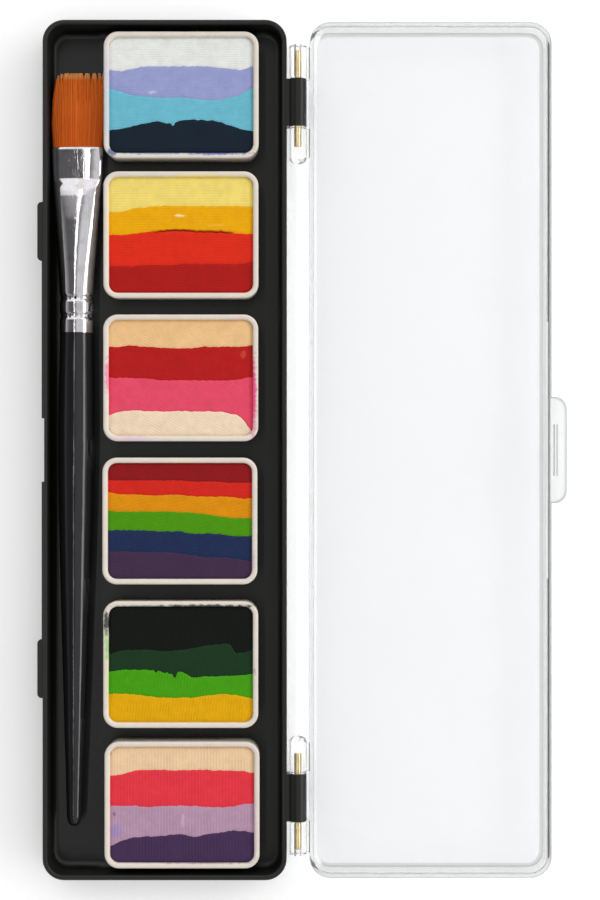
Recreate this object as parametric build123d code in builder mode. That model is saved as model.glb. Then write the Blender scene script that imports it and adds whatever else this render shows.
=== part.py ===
from build123d import *
import math
import os

# A split cake watercolour palette, open: a black tray with six striped paint pans and a flat
# brush, and a clear lid folded right over beside it.  Sizes are in millimetres.
# The origin is the middle of the tray's underside.  X runs from the brush to the lid, Y runs
# along the tray and Z is up.

# Tray.  Its length and width follow from the pans and the brush, with these rooms around them.
tray_height = 10.6
tray_wall = 1.1
tray_floor = 1.4
deck_rise = 1.0
row_end_room = 0.8
brush_side_room = 0.4
brush_pan_gap = 0.2
pan_back_room = 5.5
deck_edge_room = 0.6
corner_radius = 5.0
inner_floor_fillet = 1.4
rim_chamfer = 0.25
foot_chamfer = 0.6

# Finger tabs and the strip between them on the tray's front wall
tab_offset = 50.9
tab_length = 13.7
tab_reach = 1.25
tab_thickness = 1.2
tab_below_rim = 0.4
tab_end_radius = 1.0
strip_reach = 0.3
strip_height = 2.6
strip_below_rim = 0.9
notch_length = 14.8
notch_depth = 0.4
notch_height = 4.4
catch_length = 11.0
catch_reach = 0.2
catch_below_rim = 1.6

# Lid, lying open side up
lid_height = 8.2
lid_wall = 1.2
lid_floor = 1.2
lid_floor_chamfer = 1.1
lid_foot_chamfer = 1.0
closing_gap = 0.15
relief_length = 60.0
relief_depth = 0.35
relief_height = 1.6
thumb_length = 25.0
thumb_reach = 3.6
thumb_thickness = 1.3
thumb_end_radius = 3.0
thumb_edge_chamfer = 0.3
tongue_length = 12.0
tongue_thickness = 0.9
tongue_height = 3.2
tongue_clearance = 0.15
barb_reach = 0.15

# Hinges
hinge_reach = 2.6
knuckle_radius = 2.05
knuckle_gap = 0.15
hinge_from_end = 5.8
outer_knuckle_length = 7.9
tray_knuckle_length = 11.0
inner_knuckle_length = 8.8
knuckle_dome = 1.1
arm_depth = 1.9
pin_radius = 0.65
pin_inset = 1.4
pin_length = 22.3
pin_clearance = 0.05

# Pans
pan_width = 36.2
pan_length = 29.6
pan_height = 7.6
pan_wall = 1.3
pan_floor = 1.2
pan_corner_radius = 3.4
pan_gap = 3.5
pan_rim_chamfer = 0.4
pan_drift = [(0.1, 0.0), (0.05, 0.5), (0.0, 0.25), (-0.2, 0.0), (0.0, -0.35), (0.3, 0.0)]

# Cakes: the stripes from the head of the tray down, and the height of each boundary between
# two stripes as a share of the cake's length, at five even stations from left to right
cake_below_rim = 0.6
cakes = [
    (
        ["mint_white", "lavender", "sky_blue", "navy"],
        [
            (0.71, 0.74, 0.75, 0.74, 0.74),
            (0.56, 0.48, 0.47, 0.47, 0.57),
            (0.20, 0.26, 0.29, 0.28, 0.20),
        ],
    ),
    (
        ["pale_yellow", "golden_orange", "orange_red", "crimson"],
        [
            (0.70, 0.74, 0.75, 0.75, 0.74),
            (0.50, 0.525, 0.54, 0.53, 0.51),
            (0.23, 0.23, 0.24, 0.24, 0.26),
        ],
    ),
    (
        ["peach", "crimson", "pink", "pale_beige"],
        [
            (0.77, 0.78, 0.76, 0.77, 0.79),
            (0.50, 0.50, 0.48, 0.48, 0.51),
            (0.20, 0.21, 0.21, 0.20, 0.05),
        ],
    ),
    (
        ["dark_crimson", "red", "orange", "green", "blue", "purple"],
        [
            (0.86, 0.86, 0.85, 0.84, 0.84),
            (0.75, 0.73, 0.73, 0.71, 0.70),
            (0.59, 0.58, 0.58, 0.56, 0.53),
            (0.42, 0.42, 0.41, 0.385, 0.37),
            (0.23, 0.23, 0.22, 0.19, 0.14),
        ],
    ),
    (
        ["black", "dark_green", "bright_green", "golden_yellow"],
        [
            (0.59, 0.63, 0.63, 0.66, 0.61),
            (0.44, 0.45, 0.45, 0.40, 0.42),
            (0.24, 0.24, 0.21, 0.24, 0.20),
        ],
    ),
    (
        ["peach", "coral_red", "lilac", "deep_purple"],
        [
            (0.74, 0.79, 0.79, 0.79, 0.77),
            (0.49, 0.485, 0.49, 0.48, 0.51),
            (0.13, 0.23, 0.25, 0.265, 0.27),
        ],
    ),
]

# Brush, measured along its own axis from the ferrule's mouth
brush_head_room = 10.5
brush_tail_room = 10.6
brush_tilt = 0.3
brush_rest_gap = 0.1
mouth_half_width = 6.15
mouth_half_thickness = 1.8
ferrule_length = 43.5
ferrule_radius = 4.1
ferrule_wall = 0.35
ferrule_round_length = 10.0
turned_sides = 26
crimp_width = 0.6
crimp_depth = 0.3
crimps_from_end = [4.0, 8.0]
handle_belly_radius = 4.25
handle_belly_from_ferrule = 23.0
handle_tip_radius = 1.75
tenon_length = 12.0
bristle_length = 17.5
bristle_backing = 2.4
bristle_clearance = 0.05
strand_columns = 42
strand_rows = 10
strand_radius = 0.13
strand_tip_radius = 0.085
strand_margin = 0.16
strand_sink = 0.4
strand_unevenness = 0.7
tip_spread = 1.05
tip_pinch = 0.62

# The ferrule from its round part to its mouth: the share of the way, how much of the widening
# and of the flattening has happened there, and how square the section is, 2 being an oval
ferrule_sections = [
    (0.0, 0.0, 0.0, 2.0),
    (0.45, 0.42, 0.2, 2.2),
    (0.66, 0.68, 0.4, 2.5),
    (0.73, 0.76, 0.65, 2.8),
    (0.78, 0.82, 1.0, 3.2),
    (1.0, 1.0, 1.0, 3.2),
]
mouth_squareness = ferrule_sections[-1][-1]

# Sizes worked out from the ones above
pan_pitch = pan_length + pan_gap
tray_length = len(cakes) * pan_pitch + 2 * row_end_room
brush_room = brush_side_room + 2 * mouth_half_width + brush_pan_gap
tray_width = 2 * tray_wall + brush_room + pan_width + pan_back_room
tray_front_x = -tray_width / 2
pan_row_x = tray_front_x + tray_wall + brush_room + pan_width / 2
brush_x = tray_front_x + tray_wall + brush_side_room + mouth_half_width
deck_edge_x = brush_x + handle_belly_radius + deck_edge_room
inner_width = tray_width - 2 * tray_wall
inner_length = tray_length - 2 * tray_wall
inner_corner = corner_radius - tray_wall
deck_top = tray_floor + deck_rise
hinge_x = tray_width / 2 + hinge_reach
hinge_z = (tray_height + lid_height + closing_gap) / 2
lid_x = 2 * hinge_x
lid_front_x = lid_x + tray_width / 2
outer_knuckle_end = tray_length / 2 - hinge_from_end
tray_knuckle_outer = outer_knuckle_end - outer_knuckle_length
tray_knuckle_inner = tray_knuckle_outer - tray_knuckle_length
inner_knuckle_end = tray_knuckle_inner - inner_knuckle_length
mouth_y = inner_length / 2 - brush_head_room - bristle_length
handle_end_y = brush_tail_room - inner_length / 2
handle_length = mouth_y - ferrule_length - handle_end_y
brush_z = tray_floor + brush_rest_gap + max(handle_belly_radius, ferrule_radius)
cake_width = pan_width - 2 * pan_wall
cake_length = pan_length - 2 * pan_wall
cake_corner = pan_corner_radius - pan_wall
cake_top = pan_height - cake_below_rim
cut_margin = 1.0

os.makedirs("parts", exist_ok=True)


def save(piece, name):
    piece.part.label = name
    export_step(piece.part, f"parts/{name}.step")


def across(y):
    """The upright plane square to the tray's length at y, with local x along X and y up."""
    return Plane((0, y, 0), x_dir=(1, 0, 0), z_dir=(0, -1, 0))


def tray_cavity():
    """The space inside the tray: a wide pocket over the deck and a deeper brush trough."""
    trough_width = deck_edge_x - tray_front_x - tray_wall
    trough_plane = Plane((deck_edge_x - trough_width / 2, 0, tray_floor))
    with BuildPart() as trough:
        with BuildSketch(trough_plane):
            Rectangle(trough_width, inner_length)
        extrude(amount=tray_height + cut_margin - tray_floor)
        upright = trough.edges().filter_by(Axis.Z).group_by(Axis.X)
        fillet(upright[0], inner_corner)
        foot = trough.faces().sort_by(Axis.Z)[0].edges()
        deck_side = foot.sort_by(Axis.X)[-1]
        walls = foot.filter_by(lambda edge: edge != deck_side)
        fillet(walls, inner_floor_fillet)
    with BuildPart() as cavity:
        with BuildSketch(Plane.XY.offset(deck_top)):
            RectangleRounded(inner_width, inner_length, inner_corner)
        extrude(amount=tray_height + cut_margin - deck_top)
        fillet(cavity.faces().sort_by(Axis.Z)[0].edges(), inner_floor_fillet)
        add(trough.part)
    return cavity.part


def lid_cavity():
    """The space inside the lid, with a bevelled foot."""
    with BuildPart() as cavity:
        with BuildSketch(Plane((lid_x, 0, lid_floor))):
            inside = (tray_width - 2 * lid_wall, tray_length - 2 * lid_wall)
            RectangleRounded(*inside, corner_radius - lid_wall)
        extrude(amount=lid_height)
        chamfer(cavity.faces().sort_by(Axis.Z)[0].edges(), lid_floor_chamfer)
    return cavity.part


def finger_tabs():
    """Two thin tabs with rounded ends that stand out of the front wall below the rim."""
    root = tray_wall / 2
    plane = Plane((tray_front_x + root, 0, tray_height - tab_below_rim - tab_thickness))
    with BuildPart() as tabs:
        with BuildSketch(plane):
            with Locations((0, tab_offset), (0, -tab_offset)):
                Rectangle(tab_reach + root, tab_length, align=(Align.MAX, Align.CENTER))
        extrude(amount=tab_thickness)
        ends = tabs.edges().filter_by(Axis.Z).group_by(Axis.X)[0]
        fillet(ends, tab_end_radius)
    return tabs.part


def front_strip():
    """A shallow ledge along the front wall between the tabs, broken by the latch notch."""
    strip_length = tab_offset - tab_length / 2 - notch_length / 2
    middle = (tab_offset - tab_length / 2 + notch_length / 2) / 2
    plane = Plane((tray_front_x, 0, tray_height - strip_below_rim - strip_height))
    with BuildPart() as strip:
        with BuildSketch(plane):
            with Locations((-strip_reach / 2, middle), (-strip_reach / 2, -middle)):
                Rectangle(strip_reach, strip_length)
        extrude(amount=strip_height)
    return strip.part


def catch_bead():
    """The small half-round bead that the lid's tongue passes to latch."""
    below = tray_height - catch_below_rim
    with BuildPart() as bead:
        with BuildSketch(across(catch_length / 2)):
            with Locations((tray_front_x + notch_depth, below)):
                Circle(catch_reach)
        extrude(amount=catch_length)
    return bead.part


def barrel(y_outer, y_inner, dome):
    """A round knuckle on the hinge axis, with its inner end drawn in by dome."""
    with BuildPart() as knuckle:
        with BuildSketch(across(y_outer)):
            with Locations((hinge_x, hinge_z)):
                Circle(knuckle_radius)
        extrude(amount=y_outer - y_inner)
        if dome:
            chamfer(knuckle.edges().sort_by(Axis.Y)[0], dome)
    return knuckle.part


def arm(y_outer, y_inner, outline):
    """The web that joins a knuckle to its wall, drawn about the hinge axis."""
    with BuildPart() as web:
        with BuildSketch(across(y_outer)):
            with BuildLine():
                Polyline([(hinge_x + x, hinge_z + z) for x, z in outline], close=True)
            make_face()
        extrude(amount=y_outer - y_inner)
    return web.part


def tray_knuckle():
    reach = hinge_reach + tray_wall / 2
    top = knuckle_radius / 2
    bottom = -knuckle_radius - arm_depth / 2
    outline = [(-reach, top), (-knuckle_radius, top), (0, 0), (0, -knuckle_radius), (-reach, bottom)]
    with BuildPart() as knuckle:
        add(barrel(tray_knuckle_outer, tray_knuckle_inner, 0))
        add(arm(tray_knuckle_outer, tray_knuckle_inner, outline))
        with BuildSketch(across(tray_knuckle_outer)):
            with Locations((hinge_x, hinge_z)):
                Circle(pin_radius + pin_clearance)
        extrude(amount=tray_knuckle_outer - tray_knuckle_inner, mode=Mode.SUBTRACT)
        mirror(about=Plane.XZ)
    return knuckle.part


def lid_knuckles():
    reach = hinge_reach + lid_wall / 2
    rim = lid_height - hinge_z
    outline = [(reach, rim), (0, rim), (0, -knuckle_radius), (reach, -knuckle_radius - arm_depth)]
    outer_inner = tray_knuckle_outer + knuckle_gap
    inner_outer = tray_knuckle_inner - knuckle_gap
    pin_end = outer_knuckle_end - pin_inset - pin_length
    with BuildPart() as knuckles:
        add(barrel(outer_knuckle_end, outer_inner, 0))
        add(arm(outer_knuckle_end, outer_inner, outline))
        add(barrel(inner_outer, inner_knuckle_end, knuckle_dome))
        add(arm(inner_outer, inner_knuckle_end + knuckle_dome, outline))
        with BuildSketch(across(outer_knuckle_end)):
            with Locations((hinge_x, hinge_z)):
                Circle(pin_radius)
        extrude(amount=outer_knuckle_end - pin_end, mode=Mode.SUBTRACT)
        mirror(about=Plane.XZ)
    return knuckles.part


def thumb_tab():
    """The flange on the lid's front that the thumb lifts, level with the rim."""
    root = lid_wall / 2
    plane = Plane((lid_front_x - root, 0, lid_height - thumb_thickness))
    with BuildPart() as thumb:
        with BuildSketch(plane):
            Rectangle(root + thumb_reach, thumb_length, align=(Align.MIN, Align.CENTER))
        extrude(amount=thumb_thickness)
        ends = thumb.edges().filter_by(Axis.Z).group_by(Axis.X)[-1]
        fillet(ends, thumb_end_radius)
        chamfer(thumb.faces().sort_by(Axis.Z)[0].edges(), thumb_edge_chamfer)
    return thumb.part


def latch_tongue():
    """The upright tongue that hangs into the tray's notch when the lid is shut."""
    inner = lid_front_x - notch_depth + catch_reach + tongue_clearance + barb_reach
    root = lid_height - thumb_thickness / 2
    tip = lid_height + tongue_height
    half = tongue_thickness / 2
    with BuildPart() as tongue:
        with BuildSketch(across(tongue_length / 2)):
            with Locations((inner + half, (root + tip) / 2)):
                Rectangle(tongue_thickness, tip - root)
            with Locations((inner, tip - 2 * barb_reach)):
                Circle(barb_reach)
        extrude(amount=tongue_length)
        corners = tongue.edges().filter_by(Axis.X).group_by(Axis.Z)[-1]
        fillet(corners, tongue_thickness)
    return tongue.part


def pan_plane(number):
    """Where a pan stands on the deck, the first pan being at the head of the tray."""
    drift_x, drift_y = pan_drift[number]
    row = (len(cakes) - 1) / 2 - number
    return Plane((pan_row_x + drift_x, row * pan_pitch + drift_y, deck_top))


def stripe_edge(shares):
    """The points of one boundary, from just left of the cake to just right of it."""
    step = (cake_width + cut_margin) / (len(shares) - 1)
    left = -(cake_width + cut_margin) / 2
    return [(left + step * n, cake_length * (share - 0.5)) for n, share in enumerate(shares)]


with BuildPart() as tray:
    with BuildSketch():
        RectangleRounded(tray_width, tray_length, corner_radius)
    extrude(amount=tray_height)
    chamfer(tray.faces().sort_by(Axis.Z)[0].edges(), foot_chamfer)
    add(tray_cavity(), mode=Mode.SUBTRACT)
    chamfer(tray.faces().sort_by(Axis.Z)[-1].edges(), rim_chamfer)
    add(finger_tabs())
    add(front_strip())
    with BuildSketch(Plane((tray_front_x, 0, tray_height - notch_height))):
        Rectangle(2 * notch_depth, notch_length)
    extrude(amount=notch_height, mode=Mode.SUBTRACT)
    add(catch_bead())
    add(tray_knuckle())
save(tray, "base_tray")

with BuildPart() as lid:
    with BuildSketch(Plane((lid_x, 0, 0))):
        RectangleRounded(tray_width, tray_length, corner_radius)
    extrude(amount=lid_height)
    chamfer(lid.faces().sort_by(Axis.Z)[0].edges(), lid_foot_chamfer)
    add(lid_cavity(), mode=Mode.SUBTRACT)
    relief_x = lid_front_x - lid_wall + relief_depth
    with BuildSketch(Plane((relief_x, 0, lid_height - relief_height))):
        Rectangle(2 * relief_depth, relief_length, align=(Align.MAX, Align.CENTER))
    extrude(amount=relief_height, mode=Mode.SUBTRACT)
    chamfer(lid.faces().sort_by(Axis.Z)[-1].edges(), rim_chamfer)
    add(thumb_tab())
    add(latch_tongue())
    add(lid_knuckles())
save(lid, "lid")

pin_outer = outer_knuckle_end - pin_inset
for side, name in [(1, "upper_hinge_pin"), (-1, "lower_hinge_pin")]:
    with BuildPart() as pin:
        with BuildSketch(across(max(side * pin_outer, side * (pin_outer - pin_length)))):
            with Locations((hinge_x, hinge_z)):
                Circle(pin_radius)
        extrude(amount=pin_length)
    save(pin, name)

beyond = cut_margin / cake_length
for number, (stripes, boundaries) in enumerate(cakes):
    plane = pan_plane(number)
    with BuildPart() as pan:
        with BuildSketch(plane):
            RectangleRounded(pan_width, pan_length, pan_corner_radius)
        extrude(amount=pan_height)
        chamfer(pan.faces().sort_by(Axis.Z)[-1].edges(), pan_rim_chamfer)
        with BuildSketch(plane.offset(pan_floor)):
            RectangleRounded(cake_width, cake_length, cake_corner)
        extrude(amount=pan_height - pan_floor, mode=Mode.SUBTRACT)
    save(pan, f"pan_{number + 1}")

    stations = len(boundaries[0])
    edges = [(1 + beyond,) * stations, *boundaries, (-beyond,) * stations]
    for row, colour in enumerate(stripes):
        upper = stripe_edge(edges[row])
        lower = stripe_edge(edges[row + 1])
        with BuildPart() as stripe:
            with BuildSketch(plane.offset(pan_floor)):
                RectangleRounded(cake_width, cake_length, cake_corner)
                Polygon(upper + lower[::-1], align=None, mode=Mode.INTERSECT)
            extrude(amount=cake_top - pan_floor)
        save(stripe, f"cake_{number + 1}_{colour}")

# The brush lies along the trough with its bristles towards the head of the tray.
# Local x runs along the brush from the ferrule's mouth, and local y across it.
turn = math.radians(brush_tilt)
brush_line = Vector(math.sin(turn), math.cos(turn), 0)
brush_plane = Plane((brush_x, mouth_y, brush_z), x_dir=brush_line, z_dir=(0, 0, 1))


def brush_section(along):
    """A plane square to the brush, with local x across its width and local y up."""
    centre = brush_plane.from_local_coords(Vector(along, 0, 0))
    return Plane(centre, x_dir=brush_plane.y_dir, z_dir=brush_line)


def oval(half_width, half_height, squareness):
    """A many-sided outline that is an oval at squareness 2 and flatter-sided above it."""
    points = []
    for n in range(turned_sides):
        angle = 2 * math.pi * (n + 0.5) / turned_sides
        x = math.copysign(abs(math.cos(angle)) ** (2 / squareness), math.cos(angle))
        y = math.copysign(abs(math.sin(angle)) ** (2 / squareness), math.sin(angle))
        points.append((half_width * x, half_height * y))
    return points


ferrule_end = -ferrule_length
flat_start = ferrule_end + ferrule_round_length
ferrule_rings = [(ferrule_end, ferrule_radius, ferrule_radius, 2)]
for from_end in crimps_from_end:
    crimp = ferrule_end + from_end
    waist = ferrule_radius - crimp_depth
    ferrule_rings += [
        (crimp - crimp_width, ferrule_radius, ferrule_radius, 2),
        (crimp - crimp_width / 2, waist, waist, 2),
        (crimp + crimp_width / 2, waist, waist, 2),
        (crimp + crimp_width, ferrule_radius, ferrule_radius, 2),
    ]
for along, widened, flattened, squareness in ferrule_sections:
    half_width = ferrule_radius + (mouth_half_width - ferrule_radius) * widened
    half_height = ferrule_radius + (mouth_half_thickness - ferrule_radius) * flattened
    ferrule_rings.append((flat_start * (1 - along), half_width, half_height, squareness))

with BuildPart() as ferrule:
    for along, half_width, half_height, squareness in ferrule_rings:
        with BuildSketch(brush_section(along)):
            Polygon(oval(half_width, half_height, squareness), align=None)
    loft(ruled=True)
    mouth = (mouth_half_width - ferrule_wall, mouth_half_thickness - ferrule_wall)
    with BuildSketch(brush_section(0)):
        Polygon(oval(*mouth, mouth_squareness), align=None)
    extrude(amount=-bristle_backing, mode=Mode.SUBTRACT)
    with BuildSketch(brush_section(ferrule_end)):
        Circle(ferrule_radius - ferrule_wall)
    extrude(amount=tenon_length, mode=Mode.SUBTRACT)
save(ferrule, "brush_ferrule")

shoulder = ferrule_radius - ferrule_wall / 2
handle_end = ferrule_end - handle_length
belly = ferrule_end - handle_belly_from_ferrule
taper_start = belly - handle_belly_from_ferrule
handle_rings = [
    (ferrule_end, shoulder),
    (belly, handle_belly_radius),
    (taper_start, shoulder),
    (handle_end + handle_tip_radius, handle_tip_radius),
    (handle_end, handle_tip_radius / 2),
]
with BuildPart() as handle:
    for along, radius in handle_rings:
        with BuildSketch(brush_section(along)):
            Polygon(oval(radius, radius, 2), align=None)
    loft(ruled=True)
    with BuildSketch(brush_section(ferrule_end)):
        Circle(ferrule_radius - ferrule_wall)
    extrude(amount=tenon_length)
save(handle, "brush_handle")

tuft_half_width = mouth_half_width - ferrule_wall - bristle_clearance
tuft_half_thickness = mouth_half_thickness - ferrule_wall - bristle_clearance


def strand(across_share, up_share, length):
    """One tapering three-sided strand; its shares place it across and up the tuft."""
    across_half = tuft_half_width - strand_margin
    up_half = tuft_half_thickness - strand_margin
    root = brush_section(-strand_sink) * Pos(across_share * across_half, up_share * up_half)
    tip = brush_section(length) * Pos(
        across_share * across_half * tip_spread, up_share * up_half * tip_pinch
    )
    root_face = root * RegularPolygon(strand_radius, 3)
    tip_face = tip * RegularPolygon(strand_tip_radius, 3)
    return loft([root_face.face(), tip_face.face()], ruled=True)


strands = []
for column in range(strand_columns):
    for row in range(strand_rows):
        across_share = 2 * column / (strand_columns - 1) - 1
        up_share = 2 * row / (strand_rows - 1) - 1
        reach = abs(across_share) ** mouth_squareness + abs(up_share) ** mouth_squareness
        if reach <= 1:
            shortening = strand_unevenness * ((5 * column + 3 * row) % 7) / 6
            strands.append(strand(across_share, up_share, bristle_length - shortening))
print("strands:", len(strands))

with BuildPart() as bristles:
    with BuildSketch(brush_section(0)):
        Polygon(oval(tuft_half_width, tuft_half_thickness, mouth_squareness), align=None)
    extrude(amount=-(bristle_backing - bristle_clearance))
    add(strands)
save(bristles, "brush_bristles")
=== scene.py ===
import math
import random

import bmesh
import bpy
import numpy as np
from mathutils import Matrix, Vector, noise


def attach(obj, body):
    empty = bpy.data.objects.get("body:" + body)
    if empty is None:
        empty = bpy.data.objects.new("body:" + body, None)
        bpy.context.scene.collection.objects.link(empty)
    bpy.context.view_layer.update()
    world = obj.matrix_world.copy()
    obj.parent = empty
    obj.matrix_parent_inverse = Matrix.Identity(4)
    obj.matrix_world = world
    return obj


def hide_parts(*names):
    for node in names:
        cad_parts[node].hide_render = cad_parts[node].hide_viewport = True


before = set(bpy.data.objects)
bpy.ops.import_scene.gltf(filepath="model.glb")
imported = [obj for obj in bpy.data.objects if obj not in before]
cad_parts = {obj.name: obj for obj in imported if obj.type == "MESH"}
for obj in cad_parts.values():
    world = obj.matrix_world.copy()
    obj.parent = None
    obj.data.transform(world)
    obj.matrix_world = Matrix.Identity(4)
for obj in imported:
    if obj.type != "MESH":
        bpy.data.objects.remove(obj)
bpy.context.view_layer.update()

# Lengths below are in millimetres, in the part's own frame, and turn into metres where meshes
# and objects are made.
mm = 0.001
chance = random.Random(7)
scene = bpy.context.scene


# Camera: straight above the middle of the open palette, as in the photograph.
camera_x = 31.5
camera_height = 430.6
focal_length = 48.17
camera_data = bpy.data.cameras.new("camera")
camera_data.sensor_fit = "VERTICAL"
camera_data.sensor_height = 24.0
camera_data.lens = focal_length
camera_data.clip_start = 0.01
camera = bpy.data.objects.new("camera", camera_data)
camera.location = (camera_x * mm, 0, camera_height * mm)
scene.collection.objects.link(camera)
scene.camera = camera


# Building blocks for meshes
def new_piece(name, vertices, faces):
    """A smooth-shaded object at the origin, from points in millimetres."""
    mesh = bpy.data.meshes.new(name)
    mesh.from_pydata([tuple(c * mm for c in v) for v in vertices], [], faces)
    mesh.validate()
    mesh.shade_smooth()
    piece = bpy.data.objects.new(name, mesh)
    scene.collection.objects.link(piece)
    return piece


def dress(piece, material, body, slot_name, *nodes):
    """Gives a new piece its material, the body it rides on and the nodes it stands for."""
    piece.data.materials.append(material)
    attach(piece, body)
    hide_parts(*nodes)


def sharpen(piece, degrees):
    """Keeps edges sharper than this angle crisp on a smooth-shaded piece."""
    piece.data.set_sharp_from_angle(angle=math.radians(degrees))


def turn_outward(mesh):
    """Makes every face of a closed mesh look away from its inside."""
    work = bmesh.new()
    work.from_mesh(mesh)
    bmesh.ops.recalc_face_normals(work, faces=work.faces)
    work.to_mesh(mesh)
    work.free()


def settled(piece):
    """The mesh of a piece after its modifiers."""
    graph = bpy.context.evaluated_depsgraph_get()
    graph.update()
    return bpy.data.meshes.new_from_object(piece.evaluated_get(graph), depsgraph=graph)


def join_rings(ring_count, ring_size, first=0):
    """Quads between neighbouring closed rings of points."""
    faces = []
    for ring in range(ring_count - 1):
        for n in range(ring_size):
            a = first + ring * ring_size + n
            b = first + ring * ring_size + (n + 1) % ring_size
            faces.append((a, b, b + ring_size, a + ring_size))
    return faces


def blend_along(stations, place):
    """A smooth value at a place, from (place, value) stations in rising order."""
    places = [s[0] for s in stations]
    values = [s[1] for s in stations]
    if place <= places[0]:
        return values[0]
    if place >= places[-1]:
        return values[-1]
    n = max(i for i, p in enumerate(places) if p <= place)
    before = values[max(n - 1, 0)]
    after = values[min(n + 2, len(values) - 1)]
    t = (place - places[n]) / (places[n + 1] - places[n])
    start, end = values[n], values[n + 1]
    slope_in, slope_out = (end - before) / 2, (after - start) / 2
    return (
        (2 * t**3 - 3 * t**2 + 1) * start
        + (t**3 - 2 * t**2 + t) * slope_in
        + (3 * t**2 - 2 * t**3) * end
        + (t**3 - t**2) * slope_out
    )


# Building blocks for materials
def node(tree, kind, inputs=None, **settings):
    """A shader node with its settings and its inputs, which are values or other sockets."""
    made = tree.nodes.new(kind)
    for key, value in settings.items():
        setattr(made, key, value)
    for key, value in (inputs or {}).items():
        if isinstance(value, bpy.types.NodeSocket):
            tree.links.new(value, made.inputs[key])
        else:
            made.inputs[key].default_value = value
    return made


def colour(code, gain=1.0):
    """A linear colour from a six-figure code as seen on screen."""
    parts = [int(code[n : n + 2], 16) / 255 for n in (0, 2, 4)]
    linear = [p / 12.92 if p <= 0.04045 else ((p + 0.055) / 1.055) ** 2.4 for p in parts]
    return (*[min(p * gain, 1.0) for p in linear], 1.0)


def new_material(name):
    """A material's tree, its main shader and the surface's own coordinates in millimetres."""
    material = bpy.data.materials.new(name)
    material.use_nodes = True
    tree = material.node_tree
    shader = tree.nodes["Principled BSDF"]
    place = node(tree, "ShaderNodeTexCoord").outputs["Object"]
    scaled = node(tree, "ShaderNodeVectorMath", {0: place, 3: 1000.0}, operation="SCALE")
    return material, tree, shader, scaled.outputs[0]


def mixed(tree, factor, first, second):
    """The first colour where the factor is 0, and the second where it is 1."""
    made = tree.nodes.new("ShaderNodeMix")
    made.data_type = "RGBA"
    factor_socket, first_socket, second_socket, result_socket = 0, 6, 7, 2
    for number, value in [(factor_socket, factor), (first_socket, first), (second_socket, second)]:
        if isinstance(value, bpy.types.NodeSocket):
            tree.links.new(value, made.inputs[number])
        else:
            made.inputs[number].default_value = value
    return made.outputs[result_socket]


def grain(tree, place, scale, detail=3.0, roughness=0.5):
    """Cloudy noise from 0 to 1; its scale is the number of features a millimetre."""
    inputs = {"Vector": place, "Scale": scale, "Detail": detail, "Roughness": roughness}
    return node(tree, "ShaderNodeTexNoise", inputs).outputs["Fac"]


def stretched(tree, place, scale, turn=0.0):
    """Coordinates scaled along each axis after a turn about Z, in degrees."""
    rotated = node(tree, "ShaderNodeVectorRotate", {"Vector": place, "Angle": math.radians(turn)})
    rotated.rotation_type = "Z_AXIS"
    inputs = {0: rotated.outputs[0], 1: scale}
    return node(tree, "ShaderNodeVectorMath", inputs, operation="MULTIPLY").outputs[0]


def ranged(tree, value, low, high, new_low=0.0, new_high=1.0):
    """A value stretched from one range to another and held inside it."""
    inputs = {"Value": value, "From Min": low, "From Max": high, "To Min": new_low, "To Max": new_high}
    return node(tree, "ShaderNodeMapRange", inputs).outputs[0]


def total(tree, first, second, operation="ADD"):
    """Two numbers joined by one sum or other operation."""
    return node(tree, "ShaderNodeMath", {0: first, 1: second}, operation=operation).outputs[0]


def product(tree, first, second):
    """Two numbers multiplied."""
    return total(tree, first, second, "MULTIPLY")


def size_of(tree, value):
    """A number without its sign."""
    return node(tree, "ShaderNodeMath", {0: value}, operation="ABSOLUTE").outputs[0]


def split(tree, vector):
    """The X, Y and Z of a vector."""
    return node(tree, "ShaderNodeSeparateXYZ", {0: vector}).outputs


def bump(tree, height, depth):
    """A bump whose full height is this depth in millimetres."""
    inputs = {"Height": height, "Distance": depth * mm, "Strength": 1.0}
    return node(tree, "ShaderNodeBump", inputs).outputs[0]


def spot(tree, place, centre, size):
    """A mask that is 1 inside an upright oval with an uneven edge, and 0 outside."""
    ragged = 0.4
    offset = node(tree, "ShaderNodeVectorMath", {0: place, 1: (*centre, 0)}, operation="SUBTRACT")
    inputs = {0: offset.outputs[0], 1: (1 / size[0], 1 / size[1], 0)}
    share = node(tree, "ShaderNodeVectorMath", inputs, operation="MULTIPLY")
    inputs = {0: share.outputs[0]}
    distance = node(tree, "ShaderNodeVectorMath", inputs, operation="LENGTH").outputs["Value"]
    uneven = ranged(tree, grain(tree, place, 0.9, 3.0), 0.3, 0.7, -ragged, ragged)
    return ranged(tree, total(tree, distance, uneven), 0.55, 1.2, 1.0, 0.0)


def stained(tree, place, base, stains, origin):
    """A colour with smears over it: (x, y, half width, half length, colour, strength) each."""
    for x, y, half_x, half_y, code, amount in stains:
        mask = spot(tree, place, (origin[0] + x, origin[1] + y), (half_x, half_y))
        base = mixed(tree, product(tree, mask, amount), base, colour(code))
    return base


def connect(tree, shader, **inputs):
    """Sets inputs of the main shader, written with underscores for spaces."""
    for key, value in inputs.items():
        socket = shader.inputs[key.replace("_", " ")]
        if isinstance(value, bpy.types.NodeSocket):
            tree.links.new(value, socket)
        else:
            socket.default_value = value


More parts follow.
